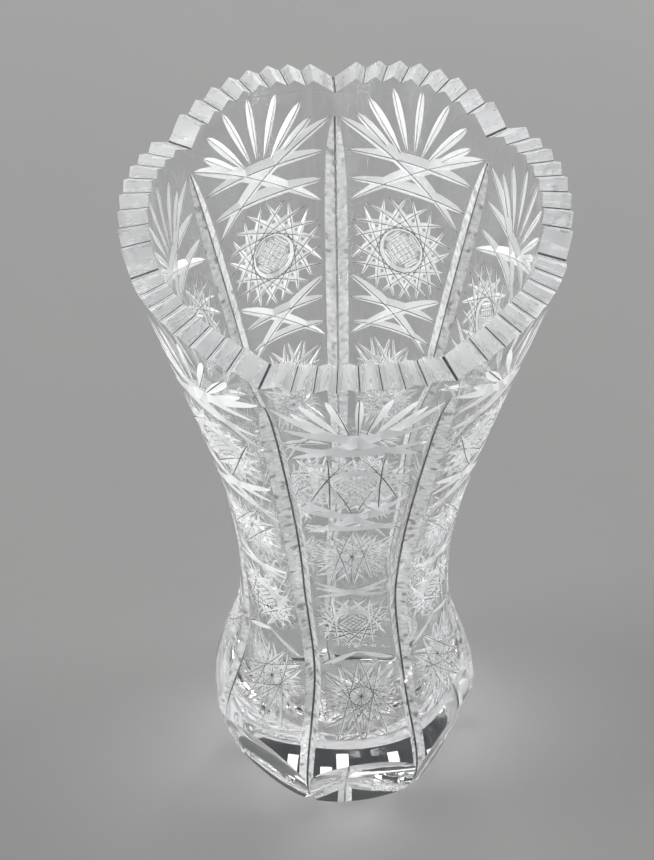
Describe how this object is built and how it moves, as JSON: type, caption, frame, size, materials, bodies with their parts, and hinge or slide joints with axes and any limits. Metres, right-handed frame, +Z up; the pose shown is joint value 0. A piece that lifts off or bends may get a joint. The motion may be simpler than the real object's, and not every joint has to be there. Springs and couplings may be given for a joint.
{
  "type": "cut crystal vase",
  "caption": "Waisted glass vase with a flared toothed rim, upright dividing grooves, cut star panels and a thick scooped foot.",
  "frame": {"origin": "middle of the foot's flat underside, on the vase's axis", "axes": "+Z up along the vase's axis; above the waist a dividing groove faces +Y, so the middle of a panel faces -Y"},
  "size_m": [0.1368, 0.1364, 0.2576],
  "materials": {
    "lead_crystal": "colourless polished lead crystal with satin ground cuts"
  },
  "bodies": {
    "root": {"crystal_vase": "lead_crystal"}
  },
  "joints": []
}
